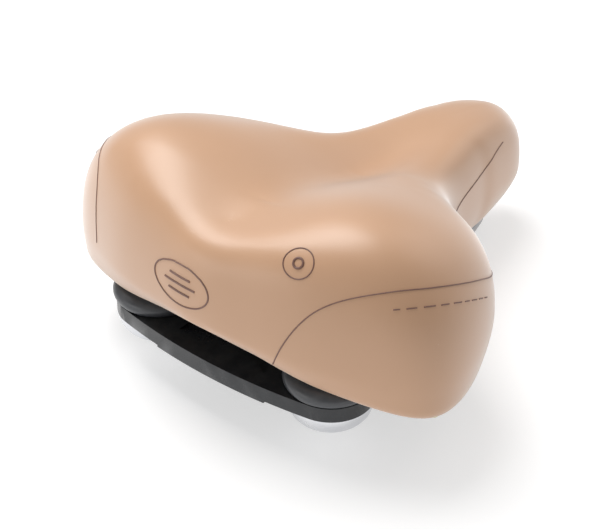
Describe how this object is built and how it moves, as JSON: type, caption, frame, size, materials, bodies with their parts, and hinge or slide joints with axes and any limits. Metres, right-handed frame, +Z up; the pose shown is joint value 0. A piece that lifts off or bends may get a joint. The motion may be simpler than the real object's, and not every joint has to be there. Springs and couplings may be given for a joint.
{
  "type": "bicycle saddle",
  "caption": "Wide padded comfort bicycle saddle with a channelled synthetic leather cover, a rocking moulded shell, rubber bumpers on a rear bridge and steel rails.",
  "frame": {"origin": "midway between the axes of the two rails, at the middle of their straight clamping stretch", "axes": "+X to the rider's right, +Y forward along the rails towards the nose, +Z up"},
  "size_m": [0.2294, 0.262, 0.1243],
  "materials": {
    "tan_leather": "matt synthetic leather with a fine grain",
    "foam": "moulded polyurethane foam",
    "gel": "soft clear gel",
    "shell_plastic": "fine-textured injection moulding",
    "bridge_plastic": "semi-gloss black moulding",
    "bumper_rubber": "smooth dark grey elastomer",
    "rail_steel": "drawn and plated steel wire",
    "plated_steel": "zinc-plated steel",
    "satin_chrome": "satin chrome plating",
    "brass": "turned brass"
  },
  "bodies": {
    "rail_body": {"rail_frame": "rail_steel", "rear_bridge": "bridge_plastic", "rail_clamp_bar": "bridge_plastic", "rail_clamp_screws": "plated_steel", "bumper_left": "bumper_rubber", "bumper_right": "bumper_rubber", "cap_left": "satin_chrome", "cap_right": "satin_chrome"},
    "seat_body": {"cover": "tan_leather", "foam": "foam", "gel_left": "gel", "gel_right": "gel", "shell": "shell_plastic", "cover_staples": "plated_steel", "nose_clip": "shell_plastic", "nose_clip_screws": "plated_steel", "insert_left": "brass", "insert_right": "brass", "bolt_left": "plated_steel", "bolt_right": "plated_steel", "washer_left": "plated_steel", "washer_right": "plated_steel"}
  },
  "joints": [
    {"name": "seat_rock", "type": "hinge", "parent": "rail_body", "child": "seat_body", "pos_m": [0, 0.104, 0.0125], "axis": [1, 0, 0], "range_deg": [0, 1], "stiffness_Nm_per_rad": 3000, "deforming": ["bumper_left", "bumper_right"]}
  ]
}
